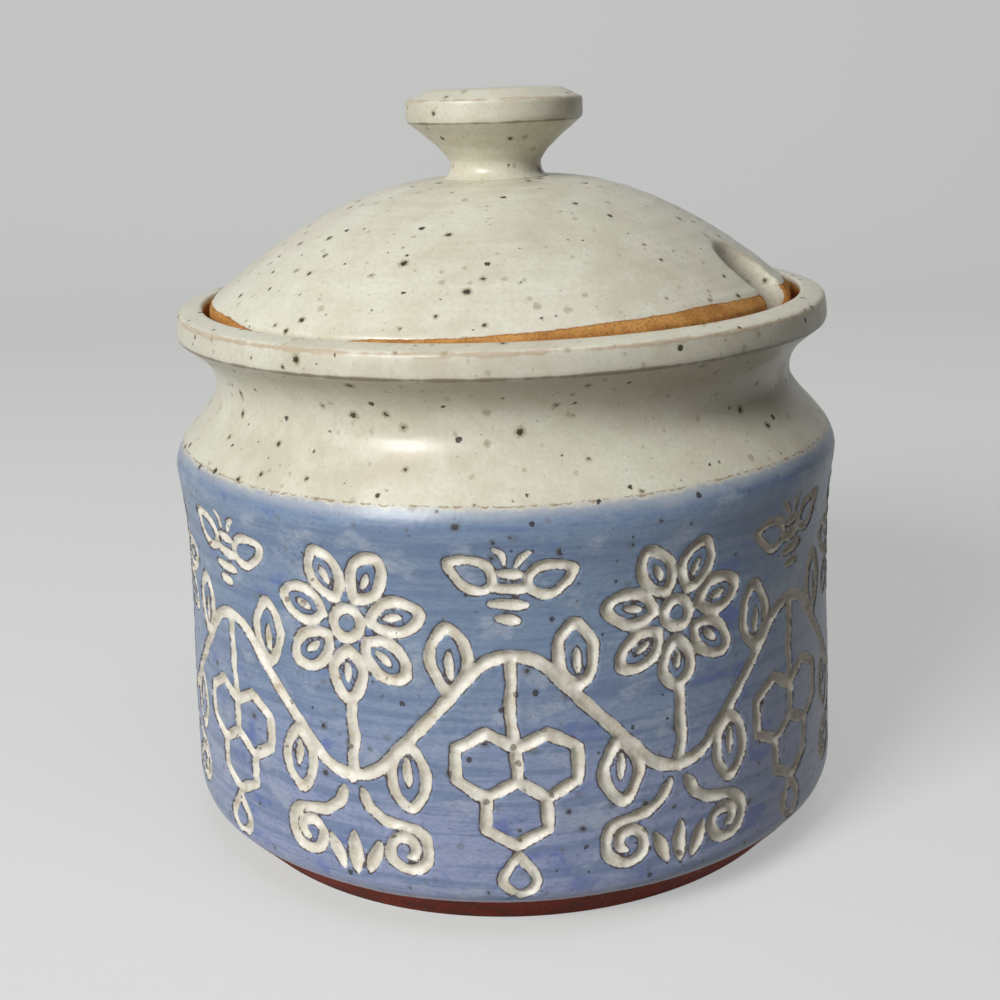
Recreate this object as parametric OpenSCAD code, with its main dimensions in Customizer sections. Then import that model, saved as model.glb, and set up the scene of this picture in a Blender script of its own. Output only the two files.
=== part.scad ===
// Stoneware honey pot with a loose domed lid.
// The pot is a thrown wall with a turned foot, a soft shoulder, a pinched-in neck and a
// rolled rim. A frieze of vine, flowers, leaves and honeycomb is carved round the wall.
// Inside the rim a flat ledge, the gallery, carries the lid. The lid is hollow and domed,
// with a notch in its edge for a spoon, and carries a thrown knob.
// Origin: centre of the foot, on the table. +Z is up and +Y points away from the viewer.

/* [Pot] */
// Height of the pot without its lid, from the table to the top of the rim
pot_h = 93.9; // [90:0.1:100]
// Thickness of the thrown wall
wall = 5; // [4:0.1:6]
// Width of the wall at its widest line, just above the foot
belly_d = 119; // [117:0.5:123]
// Height of the widest line above the table
belly_h = 13; // [10:0.5:16]
// Width of the wall at its slight waist
waist_d = 116; // [114:0.5:119]
// Height of the waist above the table
waist_h = 54; // [45:0.5:58]
// Width over the ridge, where the wall turns in to the shoulder
ridge_d = 117.8; // [116:0.2:121]
// Drop from the top of the rim to the ridge
ridge_drop = 27.1; // [25:0.1:29]
// Width of the neck outside, at its narrowest line
neck_d = 101.6; // [98:0.2:104]
// Drop from the top of the rim to the narrowest line of the neck
neck_drop = 13.4; // [12:0.1:15]

/* [Carved frieze] */
// Times that the pattern repeats round the wall
repeats = 7; // [6:1:7]
// Width of a carved line
carve_w = 1.6; // [1.2:0.1:2]
// Depth of a carved line
carve_depth = 0.6; // [0.4:0.05:0.9]
// Height of the middle of the vine above the table
vine_z = 37; // [36:0.5:38]
// Rise of the vine above that height, and its fall below it
vine_rise = 10.5; // [9:0.5:11]
// Radius of the vine's bends
vine_bend = 8; // [6:0.5:9]
// Side of a honeycomb cell
comb_side = 5.4; // [4.6:0.1:5.6]
// Drop from the middle of the vine to the middle of the comb
comb_drop = 11.4; // [11:0.2:12]
// Rise from the middle of the vine to the middle of a flower
flower_rise = 14.3; // [13.5:0.1:14.5]
// Radius of the ring in the middle of a flower
flower_eye = 2.3; // [1.8:0.1:2.6]
// Gap from that ring to the petals
petal_gap = 1.9; // [1.8:0.1:2.2]
// Length of a petal
petal_l = 8; // [6.6:0.2:8]
// Width of a petal
petal_w = 5; // [4:0.1:5.2]
// Length of a leaf
leaf_l = 10.4; // [8:0.2:11]
// Width of a leaf
leaf_w = 5.6; // [4.5:0.1:6]
// Distance round the wall from a crest or dip of the vine to the leaf beside it
leaf_reach = 9.8; // [9.4:0.1:10.2]
// Rise or drop from the middle of the vine to the middle of a leaf
leaf_rise = 10; // [9.5:0.1:10.5]

/* [Rim and gallery] */
// Width over the rim
rim_d = 114; // [112:0.2:118]
// Height of the upright band around the rim
rim_band = 4.7; // [4:0.1:6]
// Thickness of the rim beside the lid
rim_wall = 4.6; // [4:0.1:5.5]
// Depth of the ledge that carries the lid, below the top of the rim
gallery_depth = 5.7; // [4.5:0.1:7]

/* [Foot] */
// Width of the flat foot
foot_d = 106.6; // [103:0.2:110]
// Height of the bare bevel trimmed above the foot
bevel_h = 6.2; // [4:0.1:8]
// Width of the bevel's top edge
bevel_d = 117.2; // [115:0.2:119]
// Width of the ring that the pot stands on
foot_ring = 8; // [6:0.5:12]
// Depth of the shallow hollow turned inside the ring
foot_hollow = 1.5; // [1:0.1:2.5]
// Thickness of the floor over the hollow
floor_t = 5.5; // [4.5:0.1:7]
// Radius of the rounded corner between floor and wall inside the pot
floor_corner = 12; // [8:0.5:16]

/* [Lid] */
// Gap all round between the lid and the rim
lid_gap = 1.5; // [0.8:0.1:2]
// Thickness of the lid
lid_wall = 5; // [4:0.1:5.5]
// Height of the bare upright band at the lid's edge
lid_band = 5.9; // [4.5:0.1:7]
// Rise of the dome from that band to the seat of the knob
dome_rise = 19.4; // [16:0.2:24]
// Steepness of the dome at its edge, in degrees
dome_slope = 41; // [36:1:48]

/* [Spoon notch] */
// Width of the notch
notch_w = 12; // [9:0.2:14]
// Depth of the notch, in from the lid's edge
notch_depth = 11.6; // [9:0.2:14]
// Direction of the notch, in degrees from +X towards +Y
notch_turn = -24; // [-180:1:180]
// Radius of the rounded corners at the notch's mouth
notch_round = 1.8; // [1:0.1:3]

/* [Knob] */
// Width of the knob
knob_d = 30.2; // [26:0.2:36]
// Height of the knob above its seat on the dome
knob_h = 14.9; // [13:0.1:18]
// Height of the upright band around the knob
knob_band = 3.7; // [3:0.1:5]
// Rise of the knob's top from that band to its flat middle
knob_crown = 1.6; // [1:0.1:2.2]
// Width of the flat middle of the knob's top
knob_flat_d = 21; // [16:0.5:24]
// Width of the stem at its narrowest line
stem_d = 15.6; // [13:0.2:18]
// Height of the narrowest line of the stem above the seat
stem_h = 2.3; // [1.6:0.1:3]
// Width of the stem's foot, where it is luted to the dome
seat_d = 18.6; // [18.2:0.2:21]

/* [Hidden] */
$fn = 120;
CURVE_STEPS = 10;
WALL_STEPS = 3;
CORNER_STEPS = 5;
PETALS = 7;

CREAM = [0.84, 0.82, 0.74];
BLUE = [0.50, 0.59, 0.75];

// Heights of the pot's lines
ridge_z = pot_h - ridge_drop;
neck_z = pot_h - neck_drop;
band_z = pot_h - rim_band;
ledge_z = pot_h - gallery_depth;
floor_z = foot_hollow + floor_t;

// Radii of the mouth, from the rim inwards
rim_r = rim_d / 2;
gallery_r = rim_r - rim_wall;
mouth_r = neck_d / 2 - wall;
lid_r = gallery_r - lid_gap;

// Heights on the lid
edge_z = ledge_z + lid_band;
dome_z = edge_z + dome_rise;
seat_r = seat_d / 2;

// Layout of the frieze: in each length the vine has one crest and one dip
length_turn = 360 / repeats;
length_mm = PI * waist_d / repeats;
flower_out = flower_eye + petal_gap + petal_l;

// How far a cut runs clear of the wall outside, how deep it starts where the wall's own
// curve sets its floor, and how far a straight line of the vine runs into the bends
cut_clear = 2;
cut_start = 3;
line_lap = 0.1;

// Softened edges, as clay and glaze leave them
soft = 0.5;
rim_round = 1.1;
lip_round = 1;
gallery_fillet = min(0.8, lid_gap / 2);
rim_slope = 0.5;
rim_taper = 0.3;
foot_slant = 1;

// Points of a cubic curve from a to d, pulled towards b and c, without its first point
function curve(a, b, c, d, steps = CURVE_STEPS) =
    [for (i = [1:steps]) let (t = i / steps, s = 1 - t)
        s * s * s * a + 3 * s * s * t * b + 3 * s * t * t * c + t * t * t * d];

// Points of a round corner about a centre, from one angle to another
function corner(centre, r, from, to, steps = CORNER_STEPS) =
    [for (i = [0:steps]) let (a = from + (to - from) * i / steps)
        centre + r * [cos(a), sin(a)]];

// Upright pull of a curve that leaves or meets a wall without a crease
function up(z) = [0, z];

// The underside: a shallow turned hollow inside the standing ring
function foot_points() =
    let (ring_r = foot_d / 2 - foot_ring)
    concat(
        [[0, foot_hollow], [ring_r - foot_slant, foot_hollow], [ring_r, 0]],
        corner([foot_d / 2 - soft, soft], soft, -90, -30));

// The wall outside, from the bevel over the foot up to the ridge
function wall_points() =
    let (bevel = [bevel_d / 2, bevel_h],
         belly = [belly_d / 2, belly_h],
         waist = [waist_d / 2, waist_h],
         ridge = [ridge_d / 2, ridge_z],
         trim = (bevel - [foot_d / 2, 0]) / bevel_h)
    concat(
        [bevel],
        curve(bevel, bevel + trim * (belly_h - bevel_h) / 4,
              belly - up((belly_h - bevel_h) / 2), belly, WALL_STEPS),
        curve(belly, belly + up((waist_h - belly_h) / 3),
              waist - up((waist_h - belly_h) * 0.4), waist, WALL_STEPS),
        curve(waist, waist + up((ridge_z - waist_h) / 3),
              ridge - [0.4, 3.5], ridge, WALL_STEPS));

// The shoulder and the neck, from the ridge up to the underside of the rim
function shoulder_points() =
    let (ridge = [ridge_d / 2, ridge_z],
         neck = [neck_d / 2, neck_z],
         brow = [rim_r - soft / 4, band_z - soft / 4],
         rise = neck_z - ridge_z,
         flare = brow - neck)
    concat(
        curve(ridge, ridge + up(rise * 0.36), neck - up(rise * 0.36), neck, 2 * CURVE_STEPS),
        curve(neck, neck + up(flare[1] / 2), brow - [flare[0] * 0.45, flare[1] * 0.25], brow));

// The rolled rim, over its top and down to the ledge of the gallery
function rim_points() =
    concat(
        corner([rim_r - soft, band_z + soft], soft, -30, 0, 2),
        corner([rim_r - rim_taper - rim_round, pot_h - rim_slope - rim_round],
               rim_round, 0, 80),
        corner([gallery_r + soft, pot_h - soft], soft, 100, 180),
        corner([gallery_r - gallery_fillet, ledge_z + gallery_fillet],
               gallery_fillet, 0, -90));

// The inside, from the lip of the ledge down the neck and wall to the middle of the floor
function inside_points() =
    let (throat = [mouth_r, neck_z - wall * 0.3],
         hip = [ridge_d / 2 - wall, ridge_z - wall * 0.6],
         waist = [waist_d / 2 - wall, waist_h],
         toe = [belly_d / 2 - wall, floor_z + floor_corner],
         fall = throat[1] - hip[1],
         reach = waist_h - toe[1])
    concat(
        corner([mouth_r + lip_round, ledge_z - lip_round], lip_round, 90, 180),
        [throat],
        curve(throat, throat - up(fall * 0.36), hip + up(fall * 0.36), hip),
        curve(hip, hip - [0.3, (hip[1] - waist_h) / 3], waist + up((hip[1] - waist_h) / 3), waist),
        curve(waist, waist - up(reach * 0.4), toe + up(reach / 3), toe),
        corner(toe - [floor_corner, 0], floor_corner, -90 / CURVE_STEPS, -90, CURVE_STEPS - 1),
        [[0, floor_z]]);

// Radius of the wall outside at a height
function wall_r(z) = lookup(z, [for (p = wall_points()) [p[1], p[0]]]);

// Puts a flat pattern upright on the wall, in a direction round it and x mm beside that
module on_wall(turn, x, z, depth = carve_depth) {
    rotate([0, 0, turn + x * length_turn / length_mm])
        translate([wall_r(z) - depth, 0, z])
            rotate([90, 0, 90])
                linear_extrude(depth + cut_clear)
                    children();
}

// One straight carved line from a to b
module line(a, b) {
    way = b - a;
    translate(a)
        rotate(atan2(way[1], way[0]))
            translate([0, -carve_w / 2])
                square([norm(way), carve_w]);
}

// A carved circle
module circle_line(r) {
    difference() {
        circle(r + carve_w / 2);
        circle(r - carve_w / 2);
    }
}

// One carved bend: the part of a circle within an angle to one side of a direction
module bend_line(r, from, sweep) {
    past_line = 1.5 * r;
    intersection() {
        circle_line(r);
        polygon([[0, 0], for (share = [0, 0.5, 1])
            let (a = from + sweep * share) past_line * [cos(a), sin(a)]]);
    }
}

// An upright pointed oval between two arcs, grown by a margin all round
module oval(long, wide, margin) {
    r = (pow(long, 2) + pow(wide, 2)) / (4 * wide);
    intersection() {
        translate([r - wide / 2, 0])
            circle(r + margin);
        translate([wide / 2 - r, 0])
            circle(r + margin);
    }
}

// The carved outline of an upright pointed oval
module oval_line(long, wide) {
    difference() {
        oval(long, wide, carve_w / 2);
        oval(long, wide, -carve_w / 2);
    }
}

// Three cells of honeycomb that share their walls
module comb() {
    middles = comb_side * [[-sqrt(3) / 2, 0.75], [sqrt(3) / 2, 0.75], [0, -0.75]];
    difference() {
        comb_cells(middles, carve_w / sqrt(3));
        comb_cells(middles, -carve_w / sqrt(3));
    }
}

// The cells themselves, each grown by a margin at its corners
module comb_cells(middles, margin) {
    for (middle = middles)
        translate(middle)
            rotate(30)
                circle(comb_side + margin, $fn = 6);
}

// An open flower: a ring in the middle and pointed petals round it, the first one down
module flower(turn) {
    middle = flower_out - petal_l / 2;
    flower_z = vine_z + flower_rise;
    on_wall(turn, 0, flower_z)
        circle_line(flower_eye);
    for (i = [0:PETALS - 1])
        let (a = i * 360 / PETALS)
        on_wall(turn, middle * sin(a), flower_z - middle * cos(a))
            rotate(a)
                oval_line(petal_l, petal_w);
}

// The vine with the comb that hangs from each crest and the stalk that stands in each dip
module vine() {
    past = vine_rise - vine_bend;
    lean = atan2(2 * past, length_mm / 2)
        + asin(2 * vine_bend / norm([length_mm / 2, 2 * past]));
    reach = length_mm / 4 - vine_bend * sin(lean) + line_lap;
    for (i = [0:repeats - 1])
        let (crest = (i + 0.25) * length_turn, dip = (i + 0.75) * length_turn) {
            for (side = [-1, 1]) {
                on_wall(crest, 0, vine_z + past, cut_start)
                    bend_line(vine_bend, 90, side * lean);
                on_wall(dip, 0, vine_z - past, cut_start)
                    bend_line(vine_bend, -90, side * lean);
                on_wall(crest, side * length_mm / 4, vine_z, cut_start)
                    line([-reach, side * reach * tan(lean)], [reach, -side * reach * tan(lean)]);
            }
            on_wall(crest, 0, vine_z - comb_drop, cut_start) {
                comb();
                line([0, 1.25 * comb_side], [0, comb_drop + vine_rise]);
            }
            on_wall(dip, 0, vine_z, cut_start)
                line([0, -vine_rise], [0, flower_rise - flower_out]);
        }
}

// All that is carved: the vine to an even depth, and flowers and leaves each cut in flat
module frieze() {
    vine_floor = [for (p = wall_points()) p - [carve_depth, 0]];
    clear_r = max(belly_d, waist_d, ridge_d) / 2 + 2 * cut_clear;
    intersection() {
        vine();
        rotate_extrude()
            polygon(concat(vine_floor, [[clear_r, ridge_z], [clear_r, bevel_h]]));
    }
    for (i = [0:repeats - 1])
        let (crest = (i + 0.25) * length_turn, dip = (i + 0.75) * length_turn) {
            flower(dip);
            for (side = [-1, 1]) {
                on_wall(crest, side * leaf_reach, vine_z + leaf_rise)
                    oval_line(leaf_l, leaf_w);
                on_wall(dip, side * leaf_reach, vine_z - leaf_rise)
                    oval_line(leaf_l, leaf_w);
            }
        }
}

// Pot: one thrown wall with its floor, foot, neck, rim and gallery, carved round the wall
module pot() {
    color(BLUE)
        difference() {
            rotate_extrude()
                polygon(concat(foot_points(), wall_points(), shoulder_points(), rim_points(),
                               inside_points()));
            frieze();
        }
}

// Section of the lid: a hollow dome on a flat seat
function lid_points() =
    let (crown = [seat_r, dome_z],
         edge = [lid_r - soft * 0.3, edge_z],
         span = edge[0] - crown[0],
         pull = dome_rise * 0.8,
         brim = [lid_r - lid_wall, ledge_z + lid_band * 0.65],
         peak = [0, dome_z - lid_wall],
         cave = peak[1] - brim[1])
    concat(
        [peak],
        curve(peak, peak + [brim[0] * 0.44, 0],
              brim + pull * [-cos(dome_slope), sin(dome_slope)] * cave / (cave + lid_wall), brim),
        corner([lid_r - lid_wall + soft, ledge_z + soft], soft, 180, 270),
        corner([lid_r - soft, ledge_z + soft], soft, -90, 0),
        [[lid_r, edge_z - soft]],
        [edge],
        curve(edge, edge + pull * [-cos(dome_slope), sin(dome_slope)],
              crown + [span * 0.35, -0.02 * dome_rise], crown, 2 * CURVE_STEPS),
        [[0, dome_z]]);

// Plan of the notch along +X: parallel sides, a half-round end and a rounded mouth
module notch_plan() {
    half = notch_w / 2;
    end_x = lid_r - notch_depth + half;
    mouth_y = half + notch_round;
    mouth_x = sqrt(pow(lid_r - notch_round, 2) - pow(mouth_y, 2));
    meet = lid_r / (lid_r - notch_round);
    past_edge = lid_r + 2;
    translate([end_x, 0])
        circle(half);
    translate([end_x, -half])
        square([past_edge - end_x, notch_w]);
    for (side = [-1, 1])
        difference() {
            polygon([[mouth_x, 0], [mouth_x, side * mouth_y],
                     meet * [mouth_x, side * mouth_y],
                     [past_edge, side * mouth_y * meet], [past_edge, 0]]);
            translate([mouth_x, side * mouth_y])
                circle(notch_round);
        }
}

// Lid: a hollow dome with a notch cut through its edge for a spoon
module lid() {
    color(CREAM)
        difference() {
            rotate_extrude()
                polygon(lid_points());
            rotate([0, 0, notch_turn])
                translate([0, 0, ledge_z - 1])
                    linear_extrude(dome_z - ledge_z + 2)
                        notch_plan();
        }
}

// Section of the knob, from its seat up
function knob_points() =
    let (under_z = knob_h - knob_crown - knob_band,
         foot = [seat_r, 0],
         stem = [stem_d / 2, stem_h],
         under = [knob_d / 2 - soft * 0.4, under_z],
         lift = under_z - stem_h,
         reach = under[0] - stem[0])
    concat(
        [[0, 0], foot],
        curve(foot, foot + [(stem[0] - foot[0]) * 0.7, stem_h * 0.15],
              stem - up(stem_h * 0.45), stem),
        curve(stem, stem + up(lift * 0.24), stem + [reach * 0.6, lift * 0.68], under),
        [[knob_d / 2, under_z + soft]],
        corner([knob_d / 2 - soft, knob_h - knob_crown - soft], soft, 0, 60, 3),
        [[knob_flat_d / 2 + 1, knob_h - 0.15],
         [knob_flat_d / 2, knob_h],
         [0, knob_h]]);

// Knob: thrown by itself and luted to the middle of the dome
module knob() {
    color(CREAM)
        translate([0, 0, dome_z])
            rotate_extrude()
                polygon(knob_points());
}

pot();
lid();
knob();
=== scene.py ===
# %% [markdown]
# # Stoneware honey pot with a loose domed lid
# The pot was thrown on a wheel, carved while the clay was soft, glazed in cream and blue, and
# fired.
# Three pieces of clay make it: the pot, the lid and the knob that was stuck on the lid.
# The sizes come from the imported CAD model. This script gives each piece the surface that hands,
# tools and glaze leave on it: a slightly uneven wall, cut lines, soft edges, glaze and specks.

# %% Load the frame
import math
import random

import bpy
import numpy as np
from mathutils import Matrix, Vector, kdtree


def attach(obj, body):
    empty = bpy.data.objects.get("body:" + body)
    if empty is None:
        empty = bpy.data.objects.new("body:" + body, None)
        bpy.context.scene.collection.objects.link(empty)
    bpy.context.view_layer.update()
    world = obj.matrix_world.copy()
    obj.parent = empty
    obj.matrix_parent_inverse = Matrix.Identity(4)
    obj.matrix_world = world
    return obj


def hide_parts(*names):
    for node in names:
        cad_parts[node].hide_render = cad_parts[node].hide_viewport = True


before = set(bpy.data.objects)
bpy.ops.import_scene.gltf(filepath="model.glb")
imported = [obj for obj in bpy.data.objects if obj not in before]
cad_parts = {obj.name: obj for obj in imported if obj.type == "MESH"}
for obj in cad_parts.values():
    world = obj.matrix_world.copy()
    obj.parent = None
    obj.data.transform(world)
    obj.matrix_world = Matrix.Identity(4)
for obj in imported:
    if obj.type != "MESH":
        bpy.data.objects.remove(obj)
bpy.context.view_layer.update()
MM = 0.001

# %% [markdown]
# ## Working in edit mode from a script
# An operator acts on all that is selected. So each step first makes its own object the only
# selected one, and chooses vertices or faces by number before it goes into edit mode.


# %% Small helpers
def only(piece):
    """Makes one object the only selected and the active one, in object mode."""
    if bpy.context.object and bpy.context.object.mode != "OBJECT":
        bpy.ops.object.mode_set(mode="OBJECT")
    bpy.ops.object.select_all(action="DESELECT")
    piece.select_set(True)
    bpy.context.view_layer.objects.active = piece


def edit(piece, how="VERT", chosen=None):
    """Goes into edit mode with everything selected, or only the chosen numbers."""
    only(piece)
    bpy.ops.object.mode_set(mode="EDIT")
    bpy.ops.mesh.select_mode(type=how)
    bpy.ops.mesh.select_all(action="SELECT" if chosen is None else "DESELECT")
    if chosen is not None:
        bpy.ops.object.mode_set(mode="OBJECT")
        kind = piece.data.polygons if how == "FACE" else piece.data.vertices
        flags = np.zeros(len(kind), bool)
        flags[chosen] = True
        kind.foreach_set("select", flags)
        bpy.ops.object.mode_set(mode="EDIT")


def places(piece):
    """The vertices of a piece as an array, in mm."""
    flat = np.zeros(len(piece.data.vertices) * 3, np.float32)
    piece.data.vertices.foreach_get("co", flat)
    return flat.reshape(-1, 3).astype(float) / MM


def put(piece, points):
    """Puts the vertices of a piece where the array says, in mm."""
    piece.data.vertices.foreach_set("co", (points * MM).astype(np.float32).ravel())
    piece.data.update()


def note(piece, name, values):
    """Keeps one number per vertex on a piece, for its material to read."""
    kept = piece.data.attributes.new(name, "FLOAT", "POINT")
    kept.data.foreach_set("value", np.asarray(values, np.float32))


def round_places(points):
    """How far each point is from the upright axis, and in which direction, in radians."""
    return np.hypot(points[:, 0], points[:, 1]), np.arctan2(points[:, 1], points[:, 0])


def ease(low, high, x):
    """0 below low, 1 above high and a soft ramp in between."""
    t = np.clip((x - low) / (high - low), 0, 1)
    return t * t * (3 - 2 * t)


def triangles(piece):
    """How many triangles a piece has."""
    return sum(len(face.vertices) - 2 for face in piece.data.polygons)


# %% [markdown]
# ## The section of a thrown piece
# A thrown piece is round, so one line from its middle underneath to its middle on top, or
# inside, describes it. The vertices of the CAD node lie in rings round the upright axis. The
# radius and height of each ring, followed from neighbour to neighbour, are that line, and so
# the new mesh is as wide and high as the CAD solid by itself. The carved wall has no whole
# rings, so the outermost vertex in each step of its height stands in for them.


# %% Read a section off a CAD node
SAME_RING = 0.05
NOTCH_TURN, NOTCH_CLEAR = -24, 25
CARVED_LOW, CARVED_HIGH, CARVED_STEP = 13.5, 66.5, 3.5
WALL_LEAST_R = 56


def merged_copy(node, name):
    """A copy of a CAD node whose loose triangles are joined into one skin."""
    copy = bpy.data.objects.new(name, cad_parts[node].data.copy())
    bpy.context.scene.collection.objects.link(copy)
    edit(copy)
    bpy.ops.mesh.remove_doubles(threshold=0.002 * MM)
    bpy.ops.object.mode_set(mode="OBJECT")
    copy.data.materials.clear()
    return copy


def section_of(node, start, away_from=None, carved=None):
    """The section of a node in mm, as (radius, height), from its end nearest to start.

    Vertices on the side of away_from, in degrees, aren't read: something is cut out there.
    Carved is the lowest and highest height of a carved wall, and its least radius."""
    copy = merged_copy(node, node + "_rings")
    at = places(copy)
    r, turn = round_places(at)
    read = np.ones(len(at), bool)
    if away_from is not None:
        off = np.degrees(turn) - away_from
        read = np.abs((off + 180) % 360 - 180) > NOTCH_CLEAR
    skin = []
    if carved:
        low, high, least_r = carved
        wall = (at[:, 2] > low) & (at[:, 2] < high) & (r > least_r)
        read &= ~wall
        for step in np.arange(low, high, CARVED_STEP):
            band = np.nonzero(wall & (at[:, 2] >= step) & (at[:, 2] < step + CARVED_STEP))[0]
            if len(band):
                outermost = band[r[band].argmax()]
                skin.append((float(r[outermost]), float(at[outermost, 2])))
    rings, ring_of, joined, known = [], {}, {}, {}
    for i in np.nonzero(read)[0]:
        here = round(float(r[i]), 2), round(float(at[i, 2]), 2)
        if here not in known:
            same = (k for k, p in enumerate(rings) if math.dist(p, here) < SAME_RING)
            ring = next(same, len(rings))
            if ring == len(rings):
                rings.append(here)
                joined[ring] = set()
            known[here] = ring
        ring_of[i] = known[here]
    for edge in copy.data.edges:
        a, b = (ring_of.get(v) for v in edge.vertices)
        if a is not None and b is not None and a != b:
            joined[a].add(b)
            joined[b].add(a)
    bpy.data.objects.remove(copy)
    if skin:
        outer = [k for k, p in enumerate(rings) if p[0] > least_r]
        ends = [min(outer, key=lambda k: math.dist(rings[k], p)) for p in (skin[0], skin[-1])]
        chain = [ends[0], *range(len(rings), len(rings) + len(skin)), ends[1]]
        rings += skin
        for a, b in zip(chain, chain[1:]):
            joined.setdefault(a, set()).add(b)
            joined.setdefault(b, set()).add(a)
    here = min((k for k in joined if len(joined[k]) == 1), key=lambda k: math.dist(rings[k], start))
    order = [here]
    while True:
        free = joined[here] - set(order)
        if not free:
            break
        here = min(free, key=lambda k: math.dist(rings[k], rings[here]))
        order.append(here)
    return [rings[k] for k in order]


pot_rings = section_of("pot", (46, 0), carved=(CARVED_LOW, CARVED_HIGH, WALL_LEAST_R))
knob_rings = section_of("knob", (9, 113))
lid_rings = section_of("lid", (0, 108.5), NOTCH_TURN)
for name, rings in (("pot", pot_rings), ("knob", knob_rings), ("lid", lid_rings)):
    first, last = (tuple(round(float(v), 1) for v in rings[k]) for k in (0, -1))
    print(f"{name}: {len(rings)} points from {first} to {last}")

# %% [markdown]
# ## A smooth line with the right number of points
# The CAD line is made of short straight stretches. A curve through its points is smooth again.
# Then points are taken along the curve: close together where it bends, as on the rim, and far
# apart where it is nearly straight, as on the wall. A corner that turns by more than 25 degrees
# stays a corner.

# %% The smooth section and its points
FINE = 0.1
CORNER = math.radians(25)


class Section:
    """A smooth line of (radius, height) in mm, measured along its length."""

    def __init__(self, points):
        points = np.array(points, float)
        steps = np.diff(points, axis=0)
        spans = np.hypot(*steps.T)
        ways = steps / spans[:, None]
        turns = np.arccos(np.clip((ways[:-1] * ways[1:]).sum(1), -1, 1))
        fine = [points[0]]
        for i, span in enumerate(spans):
            before = ways[i] if i == 0 or turns[i - 1] > CORNER else ways[i - 1] + ways[i]
            after = ways[i] if i == len(turns) or turns[i] > CORNER else ways[i] + ways[i + 1]
            pull = [v / np.hypot(*v) * span for v in (before, after)]
            count = max(1, math.ceil(span / FINE))
            for t in np.arange(1, count + 1)[:, None] / count:
                fine.append((
                    (2 * t**3 - 3 * t**2 + 1) * points[i]
                    + (t**3 - 2 * t**2 + t) * pull[0]
                    + (3 * t**2 - 2 * t**3) * points[i + 1]
                    + (t**3 - t**2) * pull[1]
                ))
        self.line = np.array([np.ravel(p) for p in fine])
        self.along = np.concatenate([[0], np.cumsum(np.hypot(*np.diff(self.line, axis=0).T))])
        way = np.gradient(self.line, self.along, axis=0)
        self.way = way / np.hypot(*way.T)[:, None]
        self.tree = kdtree.KDTree(len(self.line))
        for i, p in enumerate(self.line):
            self.tree.insert((p[0], p[1], 0), i)
        self.tree.balance()

    def at(self, along):
        """Radius, height and outward direction at places along the line."""
        out = [np.interp(along, self.along, v) for v in (*self.line.T, *self.way.T)]
        return out[0], out[1], out[3], -out[2]

    def nearest(self, r, z):
        """Place along the line nearest to each point, and how far off it the point is."""
        hits = np.array([self.tree.find((a, b, 0))[1] for a, b in zip(r, z)])
        off = np.stack([r, z], 1) - self.line[hits]
        forward = np.clip((off * self.way[hits]).sum(1), -FINE, FINE)
        return self.along[hits] + forward, np.hypot(*off.T)

    def where(self, height, first, last):
        """Place along the line at that height, between two places on a rising stretch."""
        part = (self.along >= first) & (self.along <= last)
        return float(np.interp(height, self.line[part, 1], self.along[part]))

    def points(self, widest, bend=12, least=0.3):
        """Points for a mesh: at most widest(along) apart, and closer in bends."""
        turn = np.abs(np.gradient(np.unwrap(np.arctan2(self.way[:, 1], self.way[:, 0]))))
        turn = np.convolve(turn, np.ones(5) / 5, "same") / np.gradient(self.along)
        gap = np.clip(math.radians(bend) / (turn + 1e-6), least, 99)
        gap = np.minimum(gap, [widest(s) for s in self.along])
        count = np.concatenate([[0], np.cumsum(np.diff(self.along) / gap[1:])])
        return np.interp(
            np.linspace(0, count[-1], math.ceil(count[-1]) + 1), count, self.along
        )


pot_line = Section(pot_rings)
top_of_rim = float(pot_line.along[pot_line.line[:, 1].argmax()])
foot_part = (pot_line.line[:, 1] < 0.1) & (pot_line.along < 14)
foot_out = float(pot_line.along[foot_part][-1]) - 0.4
print(f"pot section {pot_line.along[-1]:.1f} mm long, outside from {foot_out:.1f}")
print(f"top of the rim at {top_of_rim:.1f}")

# %% [markdown]
# ## Spinning the section
# The section is drawn as by hand: one vertex, extruded from point to point. Spin then turns it
# round the upright axis, and merging doubles closes the seam and the two poles. The normals are
# recalculated afterwards, because a spun skin can come out inside out.


# %% Draw and spin
def spun(name, section, stops, steps):
    """A closed round piece from points along a section."""
    r, z, _, _ = section.at(stops)
    chain = [(0, 0, z[0]), *[(a, 0, b) for a, b in zip(r, z)], (0, 0, z[-1])]
    chain = [Vector(p) * MM for p in chain]
    bpy.ops.mesh.primitive_plane_add(size=MM, location=(0, 0, 0))
    piece = bpy.context.object
    piece.name = piece.data.name = name
    edit(piece)
    bpy.ops.mesh.merge(type="CENTER")
    bpy.ops.transform.translate(value=chain[0])
    for a, b in zip(chain, chain[1:]):
        if (b - a).length > 1e-7:
            bpy.ops.mesh.extrude_region_move(TRANSFORM_OT_translate={"value": b - a})
    bpy.ops.mesh.select_all(action="SELECT")
    bpy.ops.mesh.spin(steps=steps, angle=2 * math.pi, center=(0, 0, 0), axis=(0, 0, 1))
    bpy.ops.mesh.select_all(action="SELECT")
    bpy.ops.mesh.remove_doubles(threshold=0.01 * MM)
    bpy.ops.mesh.normals_make_consistent(inside=False)
    bpy.ops.object.mode_set(mode="OBJECT")
    return piece


WALL_STEPS = 144
WALL_LOW, WALL_HIGH = 7.4, 68.6
wall_low = pot_line.where(WALL_LOW, foot_out, top_of_rim)
wall_high = pot_line.where(WALL_HIGH, foot_out, top_of_rim)


def pot_gap(s):
    """How far apart the pot's points may be: fine on neck and rim, wide inside."""
    if wall_low < s < wall_high:
        return 2.6
    return 1.3 if foot_out < s < top_of_rim + 16 else 4.5


pot = spun("stoneware_pot", pot_line, pot_line.points(pot_gap), WALL_STEPS)
print("pot as spun:", triangles(pot), "triangles")

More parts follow.
